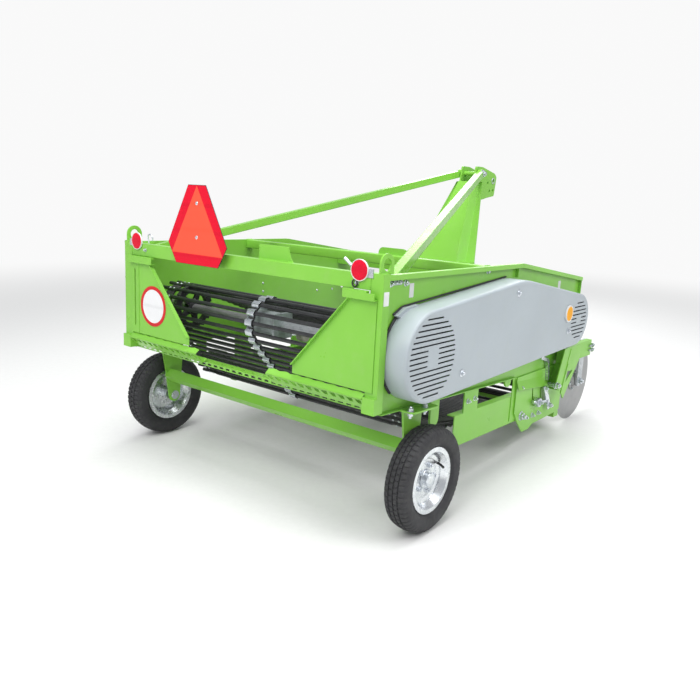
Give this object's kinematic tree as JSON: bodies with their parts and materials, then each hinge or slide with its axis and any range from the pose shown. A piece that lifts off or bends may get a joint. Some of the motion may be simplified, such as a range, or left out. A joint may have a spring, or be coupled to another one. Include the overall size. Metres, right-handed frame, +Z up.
{
  "type": "potato harvester",
  "caption": "Tractor-mounted potato harvester: share and coulter discs lift the ridge, a sloping rod web sifts it and drops the crop at the rear between two deflectors.",
  "frame": {"origin": "centre of the bounding box on the ground", "axes": "+X to the right seen in the direction of travel, +Y in the direction of travel, +Z up"},
  "size_m": [1.85, 2.3906, 1.5207],
  "materials": {
    "green": "satin lime-green paint",
    "zinc_plank": "galvanised and zinc-plated",
    "black_steel": "black, satin",
    "blade_steel": "ground and worn",
    "grey_cast": "grey paint on a casting",
    "guard_grey": "satin light-grey paint",
    "black_plastic": "matt",
    "nylon": "matt",
    "tyre_rubber": "matt",
    "belt_rubber": "matt",
    "marker_red": "retroreflective sheet",
    "lens_red": "ribbed lens",
    "lens_amber": "ribbed lens",
    "disc_white": "printed sheet"
  },
  "bodies": {
    "frame": {"axle_beam": "green", "brace_left": "green", "brace_right": "green", "centre_housing": "grey_cast", "cheek_plate_left": "green", "cheek_plate_right": "green", "cross_shaft": "black_steel", "cross_tube": "zinc_plank", "deflector_left": "green", "deflector_right": "green", "disc_arm_left": "green", "disc_arm_right": "green", "disc_stem_left": "zinc_plank", "disc_stem_right": "zinc_plank", "drive_belt": "belt_rubber", "drive_guard": "guard_grey", "front_beam": "green", "front_roller": "black_steel", "gearbox": "grey_cast", "hitch_bracket_left": "green", "hitch_bracket_right": "green", "hitch_tower": "green", "lower_plank": "green", "lower_rail_left": "green", "lower_rail_right": "green", "lower_roller": "black_steel", "marker_board": "marker_red", "middle_beam": "green", "pto_shaft": "zinc_plank", "pto_shield": "black_plastic", "rear_beam": "green", "rear_post_left": "green", "rear_post_right": "green", "rear_reflectors": "lens_red", "rear_web_shaft": "black_steel", "rod_web": "black_steel", "shaft_tube": "zinc_plank", "share": "blade_steel", "share_carrier": "green", "side_panel_left": "green", "side_panel_right": "green", "side_reflector": "lens_amber", "speed_disc": "disc_white", "step_left": "green", "step_right": "green", "support_rollers": "nylon", "web_clips": "black_steel", "wheel_arm_left": "green", "wheel_arm_right": "green"},
    "wheel_left": {"tyre_left": "tyre_rubber", "rim_left": "zinc_plank"},
    "wheel_right": {"tyre_right": "tyre_rubber", "rim_right": "zinc_plank"},
    "disc_left": {"coulter_disc_left": "blade_steel"},
    "disc_right": {"coulter_disc_right": "blade_steel"}
  },
  "joints": [
    {"name": "wheel_spin_left", "type": "hinge", "parent": "frame", "child": "wheel_left", "pos_m": [-0.869, -0.89873, 0.2275], "axis": [1, 0, 0], "continuous": true},
    {"name": "wheel_spin_right", "type": "hinge", "parent": "frame", "child": "wheel_right", "pos_m": [0.869, -0.89873, 0.2275], "axis": [1, 0, 0], "continuous": true},
    {"name": "disc_spin_left", "type": "hinge", "parent": "frame", "child": "disc_left", "pos_m": [-0.755, 0.94534, 0.25], "axis": [1, 0, 0], "continuous": true},
    {"name": "disc_spin_right", "type": "hinge", "parent": "frame", "child": "disc_right", "pos_m": [0.755, 0.94534, 0.25], "axis": [1, 0, 0], "continuous": true}
  ]
}
